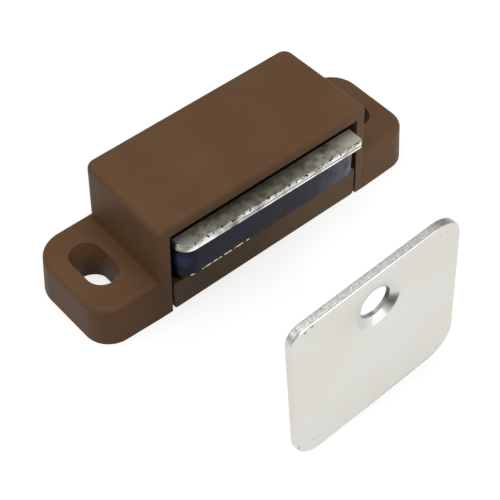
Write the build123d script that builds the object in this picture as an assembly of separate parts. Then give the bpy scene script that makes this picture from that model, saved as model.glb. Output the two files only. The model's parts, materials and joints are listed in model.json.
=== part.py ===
from build123d import *
from math import radians, tan
import os

# Magnetic catch for a cabinet door: a moulded housing with a screw ear at each end,
# a snap-in base cover, a floating pack of two steel pole plates with a ferrite block
# between them, and the steel strike plate that the door carries.
# Millimetres. The origin is the midpoint between the two screw slots on the mounting
# face. X runs along the catch, -Y points at the door, +Z leaves the mounting face.

os.makedirs("parts", exist_ok=True)

# ---- Housing: block ----
overall_length = 48.0
body_length = 31.5                # along the front
body_flare = 0.3                  # each end runs in by this much towards the back
body_depth = 14.6
body_height = 13.8
front_y = -7.6                    # front edge of the housing, measured from the slot line
body_draft = 1.2                  # degrees
body_front_radius = 0.9
body_rear_radius = 1.6
body_top_radius = 0.8
wall = 1.4                        # back wall at the base

# ---- Housing: cavity, open at the front and at the bottom ----
window_base_width = 28.6
window_draft = 1.5                # degrees, the core is drawn downwards
top_wall = 1.55
cavity_corner_radius = 0.5

# ---- Housing: ears ----
ear_height = 5.5
ear_draft = 3.5                   # degrees
ear_front_radius = 3.3
ear_rear_radius = 4.2
ear_set_back = 0.3                # the front edge runs back by this much towards each end
ear_top_radius = 0.7
ear_side_wall = 1.5
ear_end_wall = 2.6
ear_roof = 1.8
ear_core_width = 1.4              # hollows under the ears, front to back

# ---- Screw slots through the ears, long way front to back ----
slot_spacing = 38.8
slot_width = 3.8
slot_length = 5.4
slot_mouth_width = 4.0
slot_mouth_length = 7.0
slot_throat_z = 3.3               # the mouth narrows down to here
slot_relief = 0.5                 # step outwards at the mounting face
slot_relief_depth = 0.8

# ---- Magnet pack ----
plate_thickness = 1.0
magnet_height = 4.2
pack_base_z = 4.5
plate_length = 26.9
magnet_length = 26.9
upper_reach = 1.35                # how far each piece stands in front of the housing
magnet_reach = 1.1
lower_reach = 0.37
pack_rear_y = 3.3
magnet_rear_y = 0.2
plate_corner_radius = 1.9         # left front corner
plate_tight_radius = 0.6          # right front corner
plate_rear_radius = 0.7
magnet_corner_radius = 2.3
plate_edge_radius = 0.16
magnet_edge_chamfer = 0.12
notch_depth = 0.9
plate_turn = 0.8                  # degrees, the upper plate lies askew on the magnet
plate_shift = 0.2

# ---- Clearances ----
pack_slack = 0.35                 # front-to-back float of the pack
pack_side_slack = 0.35
notch_slack = 0.45                # front and back of each guide rib
pack_head_slack = 0.15
cover_clearance = 0.15

# ---- Ribs ----
rib_thickness = 1.2
rib_draft = 0.6                   # degrees
stop_rib_spacing = 8.0
head_rib_front_y = -3.6
rib_root = 0.3                    # how far each rib runs into the wall it grows from

# ---- Base cover ----
cover_recess = 0.1                # the cover stays this far inside the mounting face
cover_floor = 1.2
band_side_gap = 0.35
band_thickness = 1.3
band_corner_radius = 0.4
band_edge_radius = 0.12
band_gap = 0.1                    # between the band and the pack above it
shoulder_y = -5.4                 # behind this line the floor widens to the end walls
support_rib_spacing = 9.0
support_rib_rear_y = 2.8
snap_mid_y = -1.8
snap_width = 4.0
snap_tongue = 0.9
snap_top_z = 3.6
snap_catch_z = 2.5                # flat underside of each wedge
snap_wedge = 0.42

# ---- Strike plate ----
strike_side = 22.85
strike_thickness = 1.0
strike_corner_radius = 3.5
strike_edge_radius = 0.3
strike_back_chamfer = 0.1
strike_hole_height = 17.7         # above the bottom edge, clear of the poles
strike_hole_radius = 1.95
strike_sink_radius = 3.1
strike_land = 0.45
strike_tilt = 4.3                 # degrees, turned in its own plane as it stands
strike_x = -5.6                   # middle of the bottom edge
strike_y = -32.05                 # face towards -Y

# ---- Derived sizes ----
back_y = front_y + body_depth
mid_y = (front_y + back_y) / 2
half_length = overall_length / 2
half_body = body_length / 2
half_window = window_base_width / 2
half_slots = slot_spacing / 2
ceiling_z = body_height - top_wall
cavity_back_y = back_y - wall
magnet_z = pack_base_z + plate_thickness
upper_plate_z = magnet_z + magnet_height
pack_top_z = upper_plate_z + plate_thickness
cover_top_z = cover_recess + cover_floor
guide_front_y = magnet_rear_y + notch_slack
guide_mid_y = guide_front_y + rib_thickness / 2
guide_tip_x = plate_length / 2 - notch_depth + pack_side_slack
stop_front_y = pack_rear_y + pack_slack


def standing_slot(length, width, x, z):
    """Slot outline at height z, its long axis along Y."""
    return Pos(x, 0, z) * Rot(0, 0, 90) * SlotOverall(length, width)


def hanging_rib(x_low, x_high, y_low, y_high, z_low):
    """Rib that hangs from the ceiling down to z_low and thins towards its tip."""
    z_high = ceiling_z + rib_root
    root = Plane(((x_low + x_high) / 2, (y_low + y_high) / 2, z_high), z_dir=(0, 0, -1))
    outline = root * Rectangle(x_high - x_low, y_high - y_low)
    return extrude(outline, z_high - z_low, taper=rib_draft)


def top_edges(solid):
    """Outer edges of the highest face."""
    return solid.faces().sort_by(Axis.Z)[-1].outer_wire().edges()


def bottom_edges(solid):
    """Outer edges of the lowest face."""
    return solid.faces().sort_by(Axis.Z)[0].outer_wire().edges()


# ================= Housing =================
half_back = half_body - body_flare
block_points = [(-half_body, front_y), (half_body, front_y), (half_back, back_y), (-half_back, back_y)]
block_outline = make_face(Polyline(*block_points, close=True))
block_outline = fillet(block_outline.vertices().group_by(Axis.Y)[-1], body_rear_radius)
block_outline = fillet(block_outline.vertices().group_by(Axis.Y)[0], body_front_radius)
block = extrude(block_outline, body_height, taper=body_draft)
block = fillet(top_edges(block), body_top_radius)

ear_points = [
    (-half_length, front_y + ear_set_back),
    (-half_body, front_y),
    (half_body, front_y),
    (half_length, front_y + ear_set_back),
    (half_length, back_y),
    (-half_length, back_y),
]
ear_outline = make_face(Polyline(*ear_points, close=True))
ear_outline = fillet(ear_outline.vertices().group_by(Axis.Y)[-1], ear_rear_radius)
ear_tips = ear_outline.vertices().filter_by(lambda v: abs(v.X) == half_length and v.Y < 0)
ear_outline = fillet(ear_tips, ear_front_radius)
ear_inset = ear_height * tan(radians(ear_draft))
ear_crown = Pos(0, 0, ear_height) * offset(ear_outline, -ear_inset)
ears = loft([ear_outline.face(), ear_crown.face()], ruled=True)
ears = fillet(top_edges(ears), ear_top_radius)
housing = block + ears

# Cavity: one core, wider at the bottom, that also passes out through the front.
core_front_y = front_y - body_depth
core_centre = Pos(0, (core_front_y + cavity_back_y) / 2)
core_outline = core_centre * Rectangle(window_base_width, cavity_back_y - core_front_y)
core_outline = fillet(core_outline.vertices().group_by(Axis.Y)[-1], cavity_corner_radius)
housing -= extrude(core_outline, ceiling_z, taper=window_draft)

# Ears: cored from below, in front of each slot and behind it.
core_low_x = half_body + ear_side_wall / 2
core_high_x = half_length - ear_end_wall
core_mid_x = (core_low_x + core_high_x) / 2
front_core_y = front_y + ear_set_back + ear_side_wall + ear_core_width / 2
back_core_y = back_y - ear_side_wall - ear_core_width / 2
for x in (-core_mid_x, core_mid_x):
    for y in (front_core_y, back_core_y):
        ear_core = Pos(x, y) * Rectangle(core_high_x - core_low_x, ear_core_width)
        housing -= extrude(ear_core, ear_height - ear_roof, taper=ear_draft)

# Slots: a straight throat, a mouth that opens upwards, a relief at the mounting face.
relief_length = slot_length + 2 * slot_relief
relief_width = slot_width + 2 * slot_relief
for side in (-1, 1):
    x = side * half_slots
    throat = standing_slot(slot_length, slot_width, x, 0)
    mouth_low = standing_slot(slot_length, slot_width, x, slot_throat_z)
    mouth_high = standing_slot(slot_mouth_length, slot_mouth_width, x, ear_height)
    relief = standing_slot(relief_length, relief_width, x, 0)
    housing -= extrude(throat, ear_height)
    housing -= loft([mouth_low.face(), mouth_high.face()])
    housing -= extrude(relief, slot_relief_depth)

# Head ribs stop just above the pack; stop ribs stand behind it.
rib_root_y = cavity_back_y + rib_root
rib_low_z = cover_top_z + cover_clearance
for x in (-stop_rib_spacing, 0, stop_rib_spacing):
    rib_low_x = x - rib_thickness / 2
    rib_high_x = x + rib_thickness / 2
    head_low_z = pack_top_z + pack_head_slack
    housing += hanging_rib(rib_low_x, rib_high_x, head_rib_front_y, rib_root_y, head_low_z)
    if x != 0:
        housing += hanging_rib(rib_low_x, rib_high_x, stop_front_y, rib_root_y, rib_low_z)

# Guide ribs on the end walls stand in the notches of the pole plates.
guide_rear_y = guide_front_y + rib_thickness
guide_root_x = half_window + rib_root
housing += hanging_rib(guide_tip_x, guide_root_x, guide_front_y, guide_rear_y, rib_low_z)
housing += hanging_rib(-guide_root_x, -guide_tip_x, guide_front_y, guide_rear_y, rib_low_z)

# Snap pockets in the end walls.
pocket_depth = snap_wedge + cover_clearance
pocket_width = snap_width + 2 * cover_clearance
pocket_low_z = snap_catch_z - cover_clearance
pocket_high_z = snap_top_z + cover_clearance
pocket_mid_z = (pocket_low_z + pocket_high_z) / 2
for side in (-1, 1):
    pocket = Box(2 * pocket_depth, pocket_width, pocket_high_z - pocket_low_z)
    housing -= Pos(side * half_window, snap_mid_y, pocket_mid_z) * pocket

# ================= Base cover =================
band_rear_y = front_y + band_thickness
band_top_z = pack_base_z - band_gap
half_band = half_window - band_side_gap
cover_rear_y = cavity_back_y - cover_clearance
half_cover = half_window - cover_clearance
tongue_face_x = half_window - pack_slack

wide_centre = Pos(0, (shoulder_y + cover_rear_y) / 2, cover_recess)
wide_floor = wide_centre * Rectangle(2 * half_cover, cover_rear_y - shoulder_y)
wide_floor = fillet(wide_floor.vertices().group_by(Axis.Y)[-1], cavity_corner_radius)
base_cover = extrude(wide_floor, cover_floor, taper=window_draft)

half_neck = half_band - band_corner_radius
neck_rear_y = shoulder_y + 1
neck_centre = Pos(0, (band_rear_y + neck_rear_y) / 2 - band_thickness / 4, cover_recess)
neck_depth = neck_rear_y - band_rear_y + band_thickness / 2
base_cover += extrude(neck_centre * Rectangle(2 * half_neck, neck_depth), cover_floor)

band_mid_z = (cover_recess + band_top_z) / 2
band_plane = Plane((0, band_rear_y, band_mid_z), x_dir=(1, 0, 0), z_dir=(0, -1, 0))
band_outline = band_plane * Rectangle(2 * half_band, band_top_z - cover_recess)
band_outline = fillet(band_outline.vertices().group_by(Axis.Z)[0], band_corner_radius)
band = extrude(band_outline, band_thickness)
band = fillet(band.faces().sort_by(Axis.Y)[0].outer_wire().edges(), band_edge_radius)
base_cover += band

# Support ribs carry the pack and thin upwards.
support_depth = support_rib_rear_y - band_rear_y + rib_root
support_mid_y = (support_rib_rear_y + band_rear_y - rib_root) / 2
for x in (-support_rib_spacing, 0, support_rib_spacing):
    support = Pos(x, support_mid_y, cover_top_z - rib_root)
    support_outline = support * Rectangle(rib_thickness, support_depth)
    base_cover += extrude(support_outline, pack_base_z - cover_top_z + rib_root, taper=rib_draft)

# Snap tongues with a wedge that slides in upwards and catches downwards.
tongue_low_z = cover_top_z - rib_root
tongue_profile = [
    (tongue_face_x - snap_tongue, tongue_low_z),
    (tongue_face_x, tongue_low_z),
    (tongue_face_x, snap_catch_z),
    (tongue_face_x + snap_wedge, snap_catch_z),
    (tongue_face_x, snap_top_z),
    (tongue_face_x - snap_tongue, snap_top_z),
]
tongue_plane = Plane((0, snap_mid_y - snap_width / 2, 0), x_dir=(1, 0, 0), z_dir=(0, -1, 0))
tongue = extrude(tongue_plane * make_face(Polyline(*tongue_profile, close=True)), -snap_width)
base_cover += tongue
base_cover += mirror(tongue, Plane.YZ)


# ================= Magnet pack =================
def front_corners(outline):
    """Corners on the front edge, from left to right."""
    return outline.vertices().group_by(Axis.Y)[0].sort_by(Axis.X)


def pole_plate(reach, z, outer_edges):
    """Blanked steel plate, rounded at the front, with a notch in each end.

    The edges away from the magnet are rolled over by the punch; the others stay square.
    """
    plate_front_y = front_y - reach
    plate_centre = Pos(0, (plate_front_y + pack_rear_y) / 2)
    outline = plate_centre * Rectangle(plate_length, pack_rear_y - plate_front_y)
    outline = fillet(outline.vertices().group_by(Axis.Y)[-1], plate_rear_radius)
    outline = fillet(front_corners(outline)[0], plate_corner_radius)
    outline = fillet(front_corners(outline)[-1], plate_tight_radius)
    notch_width = rib_thickness + 2 * notch_slack
    for side in (-1, 1):
        notch_centre = Pos(side * plate_length / 2, guide_mid_y)
        outline -= notch_centre * Rectangle(2 * notch_depth, notch_width)
    plate = Pos(0, 0, z) * extrude(outline, plate_thickness)
    return fillet(outer_edges(plate), plate_edge_radius)


upper_pole_plate = pole_plate(upper_reach, upper_plate_z, top_edges)
upper_pole_plate = Pos(plate_shift, 0) * Rot(0, 0, -plate_turn) * upper_pole_plate
lower_pole_plate = pole_plate(lower_reach, pack_base_z, bottom_edges)

magnet_front_y = front_y - magnet_reach
magnet_centre = Pos(0, (magnet_front_y + magnet_rear_y) / 2, magnet_z)
magnet_depth = magnet_rear_y - magnet_front_y
magnet_outline = RectangleRounded(magnet_length, magnet_depth, magnet_corner_radius)
ferrite_magnet = extrude(magnet_centre * magnet_outline, magnet_height)
ferrite_magnet = chamfer(top_edges(ferrite_magnet), magnet_edge_chamfer)
ferrite_magnet = chamfer(bottom_edges(ferrite_magnet), magnet_edge_chamfer)

# ================= Strike plate =================
# Drawn upright with the middle of its bottom edge at the origin, then set in place.
strike_face = Plane((0, 0, strike_side / 2), x_dir=(1, 0, 0), z_dir=(0, -1, 0))
strike_outline = RectangleRounded(strike_side, strike_side, strike_corner_radius)
strike_plate = extrude(strike_face * strike_outline, -strike_thickness)
front_rim = strike_plate.faces().sort_by(Axis.Y)[0].outer_wire().edges()
strike_plate = fillet(front_rim, strike_edge_radius)
back_rim = strike_plate.faces().sort_by(Axis.Y)[-1].outer_wire().edges()
strike_plate = chamfer(back_rim, strike_back_chamfer)

hole_profile = [
    (0, 0),
    (strike_sink_radius, 0),
    (strike_hole_radius, strike_thickness - strike_land),
    (strike_hole_radius, strike_thickness),
    (0, strike_thickness),
]
hole = revolve(make_face(Polyline(*hole_profile, close=True)), Axis.Y)
strike_plate -= Pos(0, 0, strike_hole_height) * hole

strike_plate = Rot(0, -strike_tilt, 0) * strike_plate
strike_lift = -strike_plate.bounding_box().min.Z
strike_plate = Pos(strike_x, strike_y, strike_lift) * strike_plate

# ================= Export =================
pieces = {
    "housing": housing,
    "base_cover": base_cover,
    "upper_pole_plate": upper_pole_plate,
    "lower_pole_plate": lower_pole_plate,
    "ferrite_magnet": ferrite_magnet,
    "strike_plate": strike_plate,
}
for name, piece in pieces.items():
    piece.label = name
    export_step(piece, f"parts/{name}.step")
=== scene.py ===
import json
import math
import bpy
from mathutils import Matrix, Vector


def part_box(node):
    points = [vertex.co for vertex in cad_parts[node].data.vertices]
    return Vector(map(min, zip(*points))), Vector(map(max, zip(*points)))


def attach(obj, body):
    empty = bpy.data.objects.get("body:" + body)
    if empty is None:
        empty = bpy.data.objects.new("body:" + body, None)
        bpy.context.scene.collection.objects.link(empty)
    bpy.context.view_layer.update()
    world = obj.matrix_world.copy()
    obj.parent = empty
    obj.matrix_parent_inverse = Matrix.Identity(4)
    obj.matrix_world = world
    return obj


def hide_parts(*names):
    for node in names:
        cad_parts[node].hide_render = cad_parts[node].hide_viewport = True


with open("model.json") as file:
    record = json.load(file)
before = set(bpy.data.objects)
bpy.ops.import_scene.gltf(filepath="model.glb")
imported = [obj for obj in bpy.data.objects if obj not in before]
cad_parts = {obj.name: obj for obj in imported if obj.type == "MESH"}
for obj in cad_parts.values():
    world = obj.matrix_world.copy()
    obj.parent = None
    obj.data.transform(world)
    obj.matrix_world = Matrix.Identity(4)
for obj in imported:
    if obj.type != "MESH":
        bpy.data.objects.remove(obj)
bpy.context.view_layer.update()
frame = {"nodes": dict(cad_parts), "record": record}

from types import SimpleNamespace

import bmesh
import bpy
import numpy as np
from bpy.props import FloatProperty, FloatVectorProperty, PointerProperty, StringProperty
from mathutils import Vector

bl_info = {
    "name": "Magnetic catch",
    "version": (1, 0, 0),
    "blender": (4, 5, 0),
    "location": "View3D > Sidebar > Magnetic catch",
    "description": "Finishes and studio for a cabinet-door magnetic catch and its strike plate",
    "category": "Object",
}

MM = 0.001

MATH = "ShaderNodeMath"
VECTOR_MATH = "ShaderNodeVectorMath"
MAP_RANGE = "ShaderNodeMapRange"
BUMP_DEPTH = 0.04 * MM      # full height of the fine relief


# ---------------------------------------------------------------- helpers
def linear(code):
    """sRGB hex colour to linear RGBA: each channel c/12.92 below 0.04045, else ((c+0.055)/1.055)^2.4."""
    c = np.array([int(code[i:i + 2], 16) for i in (1, 3, 5)]) / 255.0
    c = np.where(c <= 0.04045, c / 12.92, ((c + 0.055) / 1.055) ** 2.4)
    return (*c.tolist(), 1.0)


def add_node(tree, kind, inputs=(), output=0, stops=(), **settings):
    """Adds one node and returns one of its outputs, or the node itself if it has none.

    Each input, by name or in order, is a value or another node's output. Stops are a ramp's
    (position, hex colour) pairs in rising order. Settings are the node's own properties.
    """
    node = tree.nodes.new(kind)
    for key, value in settings.items():
        setattr(node, key, value)
    for key, value in (inputs.items() if isinstance(inputs, dict) else enumerate(inputs)):
        if isinstance(value, bpy.types.NodeSocket):
            tree.links.new(value, node.inputs[key])
        else:
            node.inputs[key].default_value = value
    if stops:
        elements = node.color_ramp.elements
        while len(elements) > 1:
            elements.remove(elements[-1])
        elements[0].position = stops[0][0]
        for position, _ in stops[1:]:
            elements.new(position)
        for element, (_, code) in zip(elements, stops):
            element.color = linear(code)
    return node.outputs[output] if len(node.outputs) else node


def new_material(name):
    """Empty material; returns it with its node tree."""
    material = bpy.data.materials.new(name)
    material.use_nodes = True
    tree = material.node_tree
    tree.nodes.clear()
    return material, tree


def dress(node_name, material):
    """Gives a CAD node one material in all its slots."""
    mesh = frame["nodes"][node_name].data
    mesh.materials.clear()
    mesh.materials.append(material)


# ---------------------------------------------------------------- building blocks of a finish
def mottling(tree, coords, per_mm, detail=2.0, rough=0.5, seed=0.0):
    """Cloudy noise with about per_mm features to the millimetre; seed moves it to another patch."""
    place = add_node(tree, VECTOR_MATH, (coords, (seed, seed * 0.7, -seed)), operation="ADD")
    return add_node(tree, "ShaderNodeTexNoise", {
        "Vector": place, "Scale": per_mm / MM, "Detail": detail, "Roughness": rough})


def away_from(tree, value, place):
    """How far a value is from a place, on either side of it."""
    gap = add_node(tree, MATH, (value, place), operation="SUBTRACT")
    return add_node(tree, MATH, (gap,), operation="ABSOLUTE")


def held(tree, *bands):
    """Mask that is the product of its bands.

    A band is a mask, a strength, or (value, start, full): 0 at start, 1 at full, an S-curve between
    them, in whichever order the two stand.
    """
    mask = None
    for band in bands:
        if isinstance(band, tuple):
            value, start, full = band
            band = add_node(tree, MAP_RANGE, {
                "Value": value, "From Min": start, "From Max": full}, interpolation_type="SMOOTHSTEP")
        mask = band if mask is None else add_node(tree, MATH, (mask, band), operation="MULTIPLY")
    return mask


def lay_over(tree, tone, colour, *bands):
    """Lays a colour over a tone where every band holds; each is a hex colour or a socket."""
    under, over = (linear(item) if isinstance(item, str) else item for item in (tone, colour))
    return add_node(tree, "ShaderNodeMix", {
        "Factor": held(tree, *bands), 6: under, 7: over}, output=2, data_type="RGBA")


def finish_surface(material, tone, height, strength, inputs):
    """Principled surface in the given tone with a fine bump made from height, joined to the output."""
    tree = material.node_tree
    normal = add_node(tree, "ShaderNodeBump", {
        "Height": height, "Strength": strength, "Distance": BUMP_DEPTH})
    shader = add_node(tree, "ShaderNodeBsdfPrincipled", {"Base Color": tone, "Normal": normal, **inputs})
    add_node(tree, "ShaderNodeOutputMaterial", {"Surface": shader})
    return material


# ---------------------------------------------------------------- materials
def moulded_brown_plastic(name, colour_hex, shade_hex, roughness):
    """Injection-moulded brown polystyrene: satin skin, faint orange-peel, slightly uneven tone."""
    clouds_per_mm, peel_per_mm = 0.12, 2.6      # flow clouds 8 mm across, orange-peel 0.4 mm
    material, tree = new_material(name)
    coords = add_node(tree, "ShaderNodeTexCoord", output="Object")
    clouds = mottling(tree, coords, clouds_per_mm, detail=3.0)
    tone = lay_over(tree, shade_hex, colour_hex, (clouds, 0.3, 0.7))
    return finish_surface(material, tone, mottling(tree, coords, peel_per_mm), 0.06, {
        "Roughness": roughness, "IOR": 1.5, "Specular IOR Level": 0.16})


def plated_pole_steel(settings):
    """Dull nickel plating on blanked steel: mottled grey face with a painted dark reflection of the housing
    in its middle, painted highlights towards its ends and a painted shadow under the housing's lip, bright
    sheared rim with small dark pits.
    """
    film_per_mm, wear_per_mm = 1.1, 0.45        # plating film 1 mm across, wear along the rim 2 mm
    shear_per_mm, pits_per_mm = 3.0, 2.9        # shear streaks and pits 0.3 mm
    along_the_shear = (0.12, 1.0, 1.0)          # draws the streaks out 8 times, as a punch leaves them
    # painted shade in the middle of the face and painted highlights at both ends
    shaded_middle, shaded_reach = -1.0 * MM, (10.0 * MM, 5.0 * MM)
    lit_right_end, lit_left_end = (9.0 * MM, 12.5 * MM), (-10.6 * MM, -12.2 * MM)
    lip_shadow = (0.92 * MM, 1.04 * MM)         # behind the housing's front
    groove_drop, groove_half = 0.62 * MM, (0.17 * MM, 0.07 * MM)
    groove_starts = (-8.0 * MM, -3.0 * MM)
    shear_foot = 0.3 * MM                       # below the plate's top, as the drops are
    rim_inset, end_inset, corner_round = 0.18 * MM, 0.1 * MM, 1.4 * MM
    wear_depth, rim_width = 1.1 * MM, (0.85 * MM, 0.5 * MM)
    pitted_drop, pitted_width = (0.34 * MM, 0.2 * MM), (0.3 * MM, 0.12 * MM)

    material, tree = new_material("nickel_plated_pole_steel")
    coords = add_node(tree, "ShaderNodeTexCoord", output="Object")
    x, y, z = add_node(tree, "ShaderNodeSeparateXYZ", (coords,)).node.outputs
    low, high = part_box("upper_pole_plate")
    housing_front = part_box("housing")[0][1]

    drop = add_node(tree, MATH, (high[2], z), operation="SUBTRACT")
    askew = add_node(tree, MATH, (x, math.tan(math.radians(settings.lie)), y), operation="MULTIPLY_ADD")
    from_front = add_node(tree, MATH, (askew, -low[1] - rim_inset), operation="ADD")
    from_end = add_node(tree, MATH, (x, low[0] + end_inset), operation="SUBTRACT")
    depth = add_node(tree, MATH, (from_front, from_end, corner_round), operation="SMOOTH_MIN")

    film = mottling(tree, coords, film_per_mm, detail=4.0, rough=0.62, seed=0.003)
    face = lay_over(tree, settings.pole_shade_hex, settings.pole_hex, (film, 0.25, 0.75))
    # painted reflection of the dark housing darkens the middle of the face; painted highlights lighten both
    # ends
    from_shaded_middle = away_from(tree, x, shaded_middle)
    face = lay_over(tree, face, "#545140", (from_shaded_middle, *shaded_reach), 0.55)
    face = lay_over(tree, face, "#c4c0b2", (x, *lit_right_end))
    face = lay_over(tree, face, "#a5a499", (x, *lit_left_end))
    # painted shadow where the housing's lip shades the plate
    face = lay_over(tree, face, "#1c150e", (y, *(housing_front + inset for inset in lip_shadow)))

    drawn_out = add_node(tree, VECTOR_MATH, (coords, along_the_shear), operation="MULTIPLY")
    shear = mottling(tree, drawn_out, shear_per_mm, seed=0.005)
    rim = lay_over(
        tree, settings.rim_and_glint_hex, "#b9b9b2", (shear, 0.5, 0.66), (drop, groove_drop, shear_foot))
    from_groove = away_from(tree, drop, groove_drop)
    rim = lay_over(tree, rim, "#85857e", (from_groove, *groove_half), (x, *groove_starts))

    wear = mottling(tree, coords, wear_per_mm, seed=0.009)
    worn = add_node(tree, MATH, (wear, wear_depth, depth), operation="MULTIPLY_ADD")
    edge = held(tree, (worn, *rim_width))
    tone = lay_over(tree, face, rim, edge)
    pits = mottling(tree, coords, pits_per_mm, detail=1.0, seed=0.011)
    tone = lay_over(
        tree, tone, "#24231d", (drop, *pitted_drop), (depth, *pitted_width), (pits, 0.55, 0.6))
    return finish_surface(material, tone, film, 0.4, {
        "Metallic": add_node(tree, MAP_RANGE, {"Value": edge, "To Min": 0.55, "To Max": 1.0}),
        "Roughness": add_node(tree, MAP_RANGE, {"Value": edge, "To Min": 0.6, "To Max": 0.26})})


def pole_steel_painted_shade_glint(settings):
    """The lower plate: the same mottled plating, with painted shade along its front edge and at its ends, and
    a painted glint towards its left end.
    """
    mottle_and_glint_per_mm = 0.9                          # film mottling and breaks in the painted glint, 1 mm across
    front_band = (0.45 * MM, 0.25 * MM)         # behind the plate's front
    shaded_ends = (11.2 * MM, 11.8 * MM)          # from the middle, towards either end
    glint_reach, ragged = (1.2 * MM, -1.8 * MM), 9.0 * MM
    shaded_corner = (-11.9 * MM, -11.5 * MM)

    material, tree = new_material("pole_steel_painted_shade_glint")
    coords = add_node(tree, "ShaderNodeTexCoord", output="Object")
    x, y, _ = add_node(tree, "ShaderNodeSeparateXYZ", (coords,)).node.outputs
    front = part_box("lower_pole_plate")[0][1]
    mottle_and_glint_breaks = mottling(tree, coords, mottle_and_glint_per_mm, detail=3.0, rough=0.6, seed=0.002)
    reach = add_node(tree, MATH, (mottle_and_glint_breaks, ragged, x), operation="MULTIPLY_ADD")
    # painted shade on the front edge, broken by a painted glint towards the left end and kept off the left
    # corner
    edge = lay_over(tree, "#151411", settings.rim_and_glint_hex, (reach, *glint_reach), (x, *shaded_corner))
    near_front = held(tree, (y, *(front + inset for inset in front_band)))
    near_end = held(tree, (away_from(tree, x, 0.0), *shaded_ends))
    outside = add_node(tree, MATH, (near_front, near_end), operation="MAXIMUM")
    face = lay_over(tree, settings.pole_shade_hex, settings.pole_hex, (mottle_and_glint_breaks, 0.3, 0.7))
    tone = lay_over(tree, face, edge, outside)
    return finish_surface(material, tone, mottle_and_glint_breaks, 0.2, {"Roughness": 0.35, "Metallic": 1.0})


def sintered_ferrite(settings):
    """Ground ferrite ceramic: navy near-black at one end, greyer and lighter towards the other, partly its
    own tone and partly painted reflection.

    Along the foot of its front runs a broken bright line painted on the ferrite, a painted glint standing for
    the lit edge of the plated steel that it stands on.
    """
    clouds_per_mm, murk_per_mm = 0.3, 0.5       # clouds 3 mm across, murk 2 mm
    dashes_per_mm = 2.2                         # breaks in the painted glint 0.5 mm
    grey_from, grey_full, grey_drift = -10.5 * MM, 16.5 * MM, 6.0 * MM
    lit_corner, lit_corner_reach = (0.9 * MM, 1.0 * MM, 2.4 * MM), (1.5 * MM, 0.3 * MM)
    line_left = (-10.9 * MM, -10.6 * MM)
    line_fades, line_drift = (2.5 * MM, -7.5 * MM), 7.0 * MM
    line_top = (0.32 * MM, 0.22 * MM)           # above the block's foot
    line_depth = (0.25 * MM, 0.12 * MM)         # behind the block's front

    material, tree = new_material("sintered_ferrite")
    coords = add_node(tree, "ShaderNodeTexCoord", output="Object")
    x, y, z = add_node(tree, "ShaderNodeSeparateXYZ", (coords,)).node.outputs
    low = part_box("ferrite_magnet")[0]
    clouds = mottling(tree, coords, clouds_per_mm, detail=3.0, rough=0.55, seed=0.004)
    # navy to grey along the block: partly the ferrite's tone, partly painted reflection at the lighter end
    along = add_node(tree, MATH, (clouds, grey_drift, x), operation="MULTIPLY_ADD")
    share = add_node(tree, MAP_RANGE, {"Value": along, "From Min": grey_from, "From Max": grey_full})
    tone = add_node(tree, "ShaderNodeValToRGB", {"Fac": share}, stops=(
        (0.0, settings.ferrite_hex), (0.3, "#0f1730"), (0.5, "#1b1c29"), (0.72, "#26252f"),
        (0.9, "#575865"), (1.0, "#72727a")))
    murk = mottling(tree, coords, murk_per_mm, detail=3.0, rough=0.6, seed=0.021)
    tone = lay_over(tree, tone, "#06070f", (murk, 0.45, 0.65), 0.6)
    # painted reflection: a lighter patch on the rounded left corner
    corner = tuple(edge + inset for edge, inset in zip(low, lit_corner))
    from_corner = add_node(tree, VECTOR_MATH, (coords, corner), output="Value", operation="DISTANCE")
    tone = lay_over(tree, tone, "#333a5a", (from_corner, *lit_corner_reach))

    # painted glint along the foot of the front, also made metallic
    reach = add_node(tree, MATH, (clouds, line_drift, x), operation="MULTIPLY_ADD")
    shown = held(tree, (x, *line_left), (reach, *line_fades))
    dashes = mottling(tree, coords, dashes_per_mm, seed=0.018)
    dashes = add_node(tree, MATH, (shown, 0.3, dashes), operation="MULTIPLY_ADD")
    painted_glint_line = held(
        tree, (dashes, 0.62, 0.7), (shown, 0.02, 0.15),
        (y, *(low[1] + inset for inset in line_depth)), (z, *(low[2] + rise for rise in line_top)))
    tone = lay_over(tree, tone, "#fbf3dc", painted_glint_line)
    return finish_surface(material, tone, clouds, 0.1, {
        "Roughness": 0.42, "IOR": 1.5, "Specular IOR Level": 0.12, "Metallic": painted_glint_line})


def strike_layout(settings):
    """How the strike plate stands, read from the frame.

    Up runs from the plate's middle to its hole, and right is square to it. The side follows from the
    plate's height in the frame: height = (side - 2 corner) * (|up x| + up z) + 2 corner.
    """
    low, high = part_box("strike_plate")
    centre = (np.array(low) + np.array(high)) / 2
    hole = next(mount for mount in frame["record"]["mounts"] if mount["name"] == "strike_screw_hole")
    place = np.array(hole["pos_m"])
    rise = place - centre
    up = np.array((rise[0], 0, rise[2])) / math.hypot(rise[0], rise[2])
    side = (high[2] - low[2] - 2 * settings.corner) / (abs(up[0]) + up[2]) + 2 * settings.corner
    return SimpleNamespace(
        front=low[1], thickness=high[1] - low[1], centre=centre, side=side,
        up=up, right=np.array((up[2], 0, -up[0])),
        hole=place, bore=hole["dims"]["r_mm"] * MM, land=hole["dims"]["length_mm"] * MM)


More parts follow.
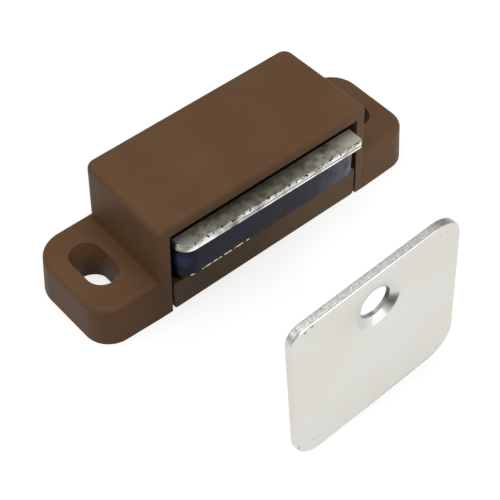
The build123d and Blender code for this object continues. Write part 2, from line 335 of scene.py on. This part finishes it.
def zinc_plated_strike(settings):
    """Pale satin zinc plating: warm and cool clouds on the face, grainy sheared edge, painted reflections and
    a painted glint round the countersink, painted light and shade on the bore.
    """
    clouds_per_mm, specks_per_mm = 0.13, 0.9    # clouds 8 mm across, finger smudges 1 mm
    grain_per_mm = 3.6                          # sheared grain 0.3 mm
    rim_band, face_band = (0.08 * MM, 0.2 * MM), (0.08 * MM, 0.02 * MM)     # in from the front
    back_band = (0.04 * MM, 0.12 * MM)          # in from the back
    sheared_above = (2.5 * MM, 4.0 * MM)        # over the hole
    smudged_beyond = (12.0 * MM, 13.5 * MM)     # from the plate's middle
    scuff_top, scuff_ragged = (1.0 * MM, 0.6 * MM), 0.9 * MM
    scuff_right, scuff_deep = (-4.0 * MM, 1.0 * MM), (0.5 * MM, 0.3 * MM)
    wall_foot = (-0.5 * MM, -1.5 * MM)          # under the hole's middle
    glint_at, glint_half = 0.28, (0.04, 0.07)   # painted glint, in turns round the hole

    plate = strike_layout(settings)
    material, tree = new_material("zinc_plated_strike_steel")
    coords = add_node(tree, "ShaderNodeTexCoord", output="Object")
    x, y, _ = add_node(tree, "ShaderNodeSeparateXYZ", (coords,)).node.outputs
    clouds = mottling(tree, coords, clouds_per_mm, seed=0.006)
    tone = lay_over(tree, settings.shade_hex, settings.colour_hex, (clouds, 0.35, 0.65))
    grain = mottling(tree, coords, grain_per_mm, detail=3.0, rough=0.6, seed=0.001)
    inward = add_node(tree, MATH, (y, -plate.front), operation="ADD")
    from_hole = add_node(tree, VECTOR_MATH, (coords, tuple(plate.hole)), operation="SUBTRACT")
    beside, _, above = add_node(tree, "ShaderNodeSeparateXYZ", (from_hole,)).node.outputs

    sheared = lay_over(tree, "#aeaeaa", "#cfcfcb", (grain, 0.35, 0.65))
    from_back = tuple(plate.thickness - inset for inset in back_band)
    tone = lay_over(
        tree, tone, sheared, (inward, *rim_band), (inward, *from_back), (above, *sheared_above))

    outward = add_node(
        tree, VECTOR_MATH, (coords, tuple(plate.centre)), output="Value", operation="DISTANCE")
    specks = mottling(tree, coords, specks_per_mm, seed=0.014)
    tone = lay_over(
        tree, tone, "#7d7b75", (specks, 0.64, 0.7), (outward, *smudged_beyond), (inward, *face_band), 0.7)

    height = add_node(
        tree, VECTOR_MATH, (coords, tuple(plate.up)), output="Value", operation="DOT_PRODUCT")
    foot = float(plate.side / 2 - plate.centre @ plate.up)
    above_foot = add_node(tree, MATH, (height, foot), operation="ADD")
    ragged = add_node(tree, MATH, (grain, scuff_ragged, above_foot), operation="MULTIPLY_ADD")
    rightwards = tuple(float(plate.centre[0]) + offset for offset in scuff_right)
    tone = lay_over(
        tree, tone, "#8c8b86", (ragged, *scuff_top), (x, *rightwards), (inward, *scuff_deep))

    flat = add_node(tree, "ShaderNodeCombineXYZ", {"X": beside, "Y": above})
    radius = add_node(tree, VECTOR_MATH, (flat,), output="Value", operation="LENGTH")
    turn = add_node(tree, "ShaderNodeTexGradient", (flat,), output="Fac", gradient_type="RADIAL")
    # painted reflections round the countersink: light and dark sectors by angle, with a painted glint near
    # 0.28 of a turn
    painted_sink_light = add_node(tree, "ShaderNodeValToRGB", {"Fac": turn}, stops=(
        (0.0, "#e4e3df"), (0.12, "#deddd8"), (0.24, "#f6f6f2"), (0.32, "#f6f6f2"), (0.37, "#b0aea8"),
        (0.41, "#55534e"), (0.45, "#77756f"), (0.50, "#f4f4f0"), (0.60, "#fafaf6"), (0.70, "#f0f0ec"),
        (1.0, "#e4e3df")))
    off_back = held(tree, (inward, plate.thickness - 0.02 * MM, plate.thickness - 0.1 * MM))
    cone = held(tree, (radius, settings.sink, settings.sink - 0.15 * MM), off_back)
    tone = lay_over(tree, tone, painted_sink_light, cone)
    # painted shade on the upper bore wall, painted light on its lower part
    wall = lay_over(tree, "#4f4d48", "#a5a39d", (above, *wall_foot))
    tone = lay_over(tree, tone, wall, (radius, plate.bore + 0.13 * MM, plate.bore + 0.03 * MM), off_back)

    # the countersink is nearly non-metallic except where the painted glint lies
    dull = held(tree, cone, (away_from(tree, turn, glint_at), *glint_half))
    return finish_surface(material, tone, grain, 0.05, {
        "Roughness": 0.42,
        "Metallic": add_node(tree, MAP_RANGE, {"Value": dull, "To Min": 1.0, "To Max": 0.12})})


# ---------------------------------------------------------------- shapes
# Corners as (right, up) signs, anticlockwise from the top right
CORNER_SIGNS = np.array(((1, 1), (-1, 1), (-1, -1), (1, -1)))
ARC_STEPS, SIDE_STEPS, EDGE_STEPS = 12, 24, 6


def plate_outline(side, radii, inset):
    """Square with rounded corners, drawn in by inset, as one ring of (right, up) points.

    Each corner is its arc's centre plus (radius - inset) times (cos, sin) over a quarter turn, and each
    side is the straight line from one arc's end to the next arc's start.
    """
    radii = np.array(radii)
    centres = CORNER_SIGNS * (side / 2 - radii)[:, None]
    angles = np.radians(90 * np.arange(4)[:, None] + np.linspace(0, 90, ARC_STEPS + 1))
    directions = np.stack((np.cos(angles), np.sin(angles)), axis=-1)
    arcs = centres[:, None] + (radii - inset)[:, None, None] * directions
    share = np.linspace(0, 1, SIDE_STEPS + 1)[1:-1, None]
    ends, starts = arcs[:, -1:], np.roll(arcs, -1, axis=0)[:, :1]
    return np.concatenate((arcs, ends + (starts - ends) * share), axis=1).reshape(-1, 2)


def strike_mesh(settings):
    """The strike plate: countersunk from the front, rounded front rim, one corner tighter than the rest.

    A closed profile carried round the outline. Bore and countersink: hole centre plus radius times the
    unit direction towards each outline point. Front rim at angle t from 0 to 90 degrees: the outline drawn
    in by edge * (1 - sin t) at depth edge * (1 - cos t). Back rim: a straight chamfer.
    """
    plate = strike_layout(settings)
    edge, chamfer = settings.edge, settings.back_chamfer
    radii = (settings.corner, settings.tight_corner, settings.corner, settings.corner)

    seat = np.array((0, (plate.hole - plate.centre) @ plate.up))
    spokes = plate_outline(plate.side, radii, edge) - seat
    spokes /= np.linalg.norm(spokes, axis=1)[:, None]
    bore = seat + plate.bore * spokes
    turns = np.linspace(0, math.pi / 2, EDGE_STEPS + 1)
    rounding = [plate_outline(plate.side, radii, inset) for inset in edge * (1 - np.sin(turns))]
    rings = np.stack((
        bore, bore, seat + settings.sink * spokes, *rounding,
        plate_outline(plate.side, radii, 0.0), plate_outline(plate.side, radii, chamfer)))
    depths = np.array((
        plate.thickness, plate.thickness - plate.land, 0.0, *edge * (1 - np.cos(turns)),
        plate.thickness - chamfer, plate.thickness))
    middle_x, _, middle_z = plate.centre
    middles = np.stack((
        np.full_like(depths, middle_x), plate.front + depths, np.full_like(depths, middle_z)), axis=-1)
    points = middles[:, None] + rings[..., :1] * plate.right + rings[..., 1:] * plate.up

    ring_count, count = rings.shape[:2]
    around = np.arange(count)
    beside = (around + 1) % count
    start = np.arange(ring_count)[:, None] * count
    following = (start + count) % (ring_count * count)
    faces = np.stack((start + around, start + beside, following + beside, following + around), axis=-1)
    smooth = np.ones((ring_count, count), dtype=bool)
    smooth[[2, -1]] = False                     # the flat front and the flat back
    mesh = bpy.data.meshes.new("strike_plate_plated")
    mesh.from_pydata(points.reshape(-1, 3), [], faces.reshape(-1, 4))
    mesh.polygons.foreach_set("use_smooth", smooth.ravel())
    mesh.set_sharp_from_angle(angle=math.radians(30))
    work = bmesh.new()
    work.from_mesh(mesh)
    bmesh.ops.recalc_face_normals(work, faces=work.faces)
    work.to_mesh(mesh)
    work.free()
    return mesh


# ---------------------------------------------------------------- settings
class HousingSettings(bpy.types.PropertyGroup):
    colour_hex: StringProperty(
        name="Colour", description="sRGB hex colour of the moulding", default="#664b32")
    shade_hex: StringProperty(
        name="Shade", description="sRGB hex colour of its darker clouds", default="#5f442d")
    # the cover colours are the housing's plastic darkened as painted shade
    cover_hex: StringProperty(
        name="Cover colour", description="sRGB hex colour of the base cover", default="#5a462b")
    cover_shade_hex: StringProperty(
        name="Cover shade", description="sRGB hex colour of its clouds", default="#533f27")
    roughness: FloatProperty(
        name="Roughness", description="Roughness of the moulded skin", default=0.55,
        min=0.0, max=1.0, subtype="FACTOR")


class PackSettings(bpy.types.PropertyGroup):
    pole_hex: StringProperty(
        name="Plate colour", description="sRGB hex colour of the plating", default="#c5c0b1")
    pole_shade_hex: StringProperty(
        name="Plate shade", description="sRGB hex colour of dull plating", default="#6a675a")
    # the rim colour also paints the lower plate's glint
    rim_and_glint_hex: StringProperty(
        name="Rim colour", description="sRGB hex colour of the bright sheared rim", default="#fbfaf6")
    lie: FloatProperty(name="Lie", description="Degrees the upper plate lies askew", default=0.8)
    ferrite_hex: StringProperty(
        name="Ferrite colour", description="sRGB hex colour of the magnet's dark end", default="#0a1129")


class StrikeSettings(bpy.types.PropertyGroup):
    colour_hex: StringProperty(
        name="Colour", description="sRGB hex colour of the plating", default="#dbdad5")
    shade_hex: StringProperty(
        name="Shade", description="sRGB hex colour of its warmer clouds", default="#dbd9cf")
    corner: FloatProperty(
        name="Corner", description="Radius of three corners", default=3.5 * MM, unit="LENGTH")
    tight_corner: FloatProperty(
        name="Tight corner", description="Radius of the top left corner", default=1.9 * MM, unit="LENGTH")
    edge: FloatProperty(
        name="Edge", description="Rounding of the front rim", default=0.3 * MM, unit="LENGTH")
    back_chamfer: FloatProperty(
        name="Back chamfer", description="Break of the back rim", default=0.1 * MM, unit="LENGTH")
    sink: FloatProperty(
        name="Countersink", description="Radius at the face", default=3.1 * MM, unit="LENGTH")


class StageSettings(bpy.types.PropertyGroup):
    azimuth: FloatProperty(
        name="Azimuth", description="Camera azimuth in degrees, 0 looks along +Y", default=-40.57)
    elevation: FloatProperty(
        name="Elevation", description="Camera elevation in degrees", default=49.12)
    distance: FloatProperty(
        name="Distance", description="Camera to target", default=160.86 * MM, unit="LENGTH")
    lens: FloatProperty(
        name="Lens", description="Focal length in millimetres", default=102.92, unit="CAMERA")
    target: FloatVectorProperty(
        name="Target", description="Point the camera looks at",
        default=(-5.47 * MM, -10.83 * MM, 6.87 * MM), subtype="TRANSLATION")
    floor_hex: StringProperty(
        name="Floor", description="sRGB hex colour of the floor", default="#909090")
    floor_glow: FloatProperty(
        name="Floor glow", description="Brightness added to the floor as the camera sees it", default=0.8)
    sky: FloatProperty(name="Sky", description="Strength of the world's light", default=0.45)
    overhead: FloatProperty(
        name="Overhead", description="Power of the overhead softbox", default=1.3, unit="POWER")
    left: FloatProperty(
        name="Left", description="Power of the left softbox", default=0.6, unit="POWER")
    front: FloatProperty(
        name="Front", description="Power of the front softbox", default=1.25, unit="POWER")


# ---------------------------------------------------------------- operators
class CATCH_OT_housing(bpy.types.Operator):
    """Finishes the housing in moulded brown plastic and its base cover in a darker copy of it, painted shade
    for the cover under the magnet pack
    """
    bl_idname = "catch.housing"
    bl_label = "Housing and cover"

    def execute(self, context):
        settings = context.scene.catch_housing
        dress("housing", moulded_brown_plastic(
            "moulded_brown_plastic", settings.colour_hex, settings.shade_hex, settings.roughness))
        # a darker copy of the same plastic: painted shade under the overhanging magnet pack
        dress("base_cover", moulded_brown_plastic(
            "brown_plastic_painted_shade", settings.cover_hex, settings.cover_shade_hex, settings.roughness))
        return {"FINISHED"}


class CATCH_OT_magnet_pack(bpy.types.Operator):
    """Finishes the two pole plates and the ferrite block"""
    bl_idname = "catch.magnet_pack"
    bl_label = "Magnet pack"

    def execute(self, context):
        settings = context.scene.catch_pack
        dress("upper_pole_plate", plated_pole_steel(settings))
        dress("lower_pole_plate", pole_steel_painted_shade_glint(settings))
        dress("ferrite_magnet", sintered_ferrite(settings))
        return {"FINISHED"}


class CATCH_OT_strike(bpy.types.Operator):
    """Builds the strike plate in place of its solid, with its tighter top left corner, and finishes it"""
    bl_idname = "catch.strike"
    bl_label = "Strike plate"

    def execute(self, context):
        settings = context.scene.catch_strike
        mesh = strike_mesh(settings)
        mesh.materials.append(zinc_plated_strike(settings))
        plate = bpy.data.objects.new("strike_plate_plated", mesh)
        context.scene.collection.objects.link(plate)
        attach(plate, "strike")
        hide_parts("strike_plate")
        return {"FINISHED"}


def softbox(name, place, size, power):
    """Square area lamp that faces the origin; place and size in metres."""
    data = bpy.data.lights.new(name, "AREA")
    data.shape = "SQUARE"
    data.size = size
    data.energy = power
    lamp = bpy.data.objects.new(name, data)
    lamp.location = place
    lamp.rotation_euler = (-Vector(place)).to_track_quat("-Z", "Y").to_euler()
    bpy.context.scene.collection.objects.link(lamp)


class CATCH_OT_stage(bpy.types.Operator):
    """Builds the floor, the lights, the world and the camera"""
    bl_idname = "catch.stage"
    bl_label = "Stage"

    def execute(self, context):
        settings = context.scene.catch_stage
        scene = context.scene
        scene.view_settings.view_transform = "Standard"

        half, level = 3.0, -0.02 * MM           # just under the mounting face, so the two never coincide
        mesh = bpy.data.meshes.new("floor")
        mesh.from_pydata([
            (-half, -half, level), (half, -half, level), (half, half, level), (-half, half, level),
        ], [], [(0, 1, 2, 3)])
        floor = bpy.data.objects.new("floor", mesh)
        scene.collection.objects.link(floor)
        material, tree = new_material("pale_floor")
        rays = add_node(tree, "ShaderNodeLightPath").node.outputs
        seen = add_node(tree, MATH, (rays["Is Camera Ray"], rays["Is Glossy Ray"]), operation="MAXIMUM")
        seen = add_node(tree, MATH, (seen, rays["Is Transmission Ray"]), operation="MAXIMUM")
        lift = add_node(tree, MATH, (seen, settings.floor_glow), operation="MULTIPLY")
        glow = add_node(tree, "ShaderNodeEmission", {"Strength": lift})
        base = add_node(tree, "ShaderNodeBsdfDiffuse", {"Color": linear(settings.floor_hex)})
        both = add_node(tree, "ShaderNodeAddShader", (glow, base))
        add_node(tree, "ShaderNodeOutputMaterial", {"Surface": both})
        mesh.materials.append(material)

        world = bpy.data.worlds.new("studio")
        scene.world = world
        world.use_nodes = True
        tree = world.node_tree
        tree.nodes.clear()
        rays = add_node(tree, "ShaderNodeLightPath").node.outputs
        strength = add_node(tree, MAP_RANGE, {
            "Value": rays["Is Camera Ray"], "To Min": settings.sky, "To Max": 1.0})
        sky = add_node(tree, "ShaderNodeBackground", {"Strength": strength})
        add_node(tree, "ShaderNodeOutputWorld", {"Surface": sky})

        softbox("overhead_softbox", (0.0, 0.05, 0.6), 0.4, settings.overhead)
        softbox("left_softbox", (-0.4, 0.1, 0.35), 0.3, settings.left)
        softbox("front_softbox", (0.06, -0.5, 0.25), 0.25, settings.front)

        data = bpy.data.cameras.new("camera")
        data.sensor_width = 36.0
        data.lens = settings.lens
        data.clip_start = 0.01
        camera = bpy.data.objects.new("camera", data)
        azimuth, elevation = math.radians(settings.azimuth), math.radians(settings.elevation)
        back = Vector((
            math.sin(azimuth) * math.cos(elevation), -math.cos(azimuth) * math.cos(elevation),
            math.sin(elevation)))
        camera.location = Vector(settings.target) + back * settings.distance
        camera.rotation_euler = (-back).to_track_quat("-Z", "Y").to_euler()
        scene.collection.objects.link(camera)
        scene.camera = camera
        return {"FINISHED"}


class CATCH_PT_panel(bpy.types.Panel):
    """Lists the pieces of the magnetic catch"""
    bl_idname = "CATCH_PT_panel"
    bl_label = "Magnetic catch"
    bl_space_type = "VIEW_3D"
    bl_region_type = "UI"
    bl_category = "Magnetic catch"

    def draw(self, context):
        for name in ("housing", "magnet_pack", "strike", "stage"):
            self.layout.operator("catch." + name)


CLASSES = (
    HousingSettings, PackSettings, StrikeSettings, StageSettings,
    CATCH_OT_housing, CATCH_OT_magnet_pack, CATCH_OT_strike, CATCH_OT_stage, CATCH_PT_panel,
)


def register():
    """Registers the classes and gives the scene a group of settings for each operator."""
    for cls in CLASSES:
        bpy.utils.register_class(cls)
    bpy.types.Scene.catch_housing = PointerProperty(type=HousingSettings)
    bpy.types.Scene.catch_pack = PointerProperty(type=PackSettings)
    bpy.types.Scene.catch_strike = PointerProperty(type=StrikeSettings)
    bpy.types.Scene.catch_stage = PointerProperty(type=StageSettings)


def unregister():
    """Takes away what register added, in the opposite order."""
    del bpy.types.Scene.catch_stage, bpy.types.Scene.catch_strike
    del bpy.types.Scene.catch_pack, bpy.types.Scene.catch_housing
    for cls in reversed(CLASSES):
        bpy.utils.unregister_class(cls)


def main():
    """Builds everything in order."""
    register()
    bpy.ops.catch.housing()
    bpy.ops.catch.magnet_pack()
    bpy.ops.catch.strike()
    bpy.ops.catch.stage()


if __name__ == "__main__":
    main()
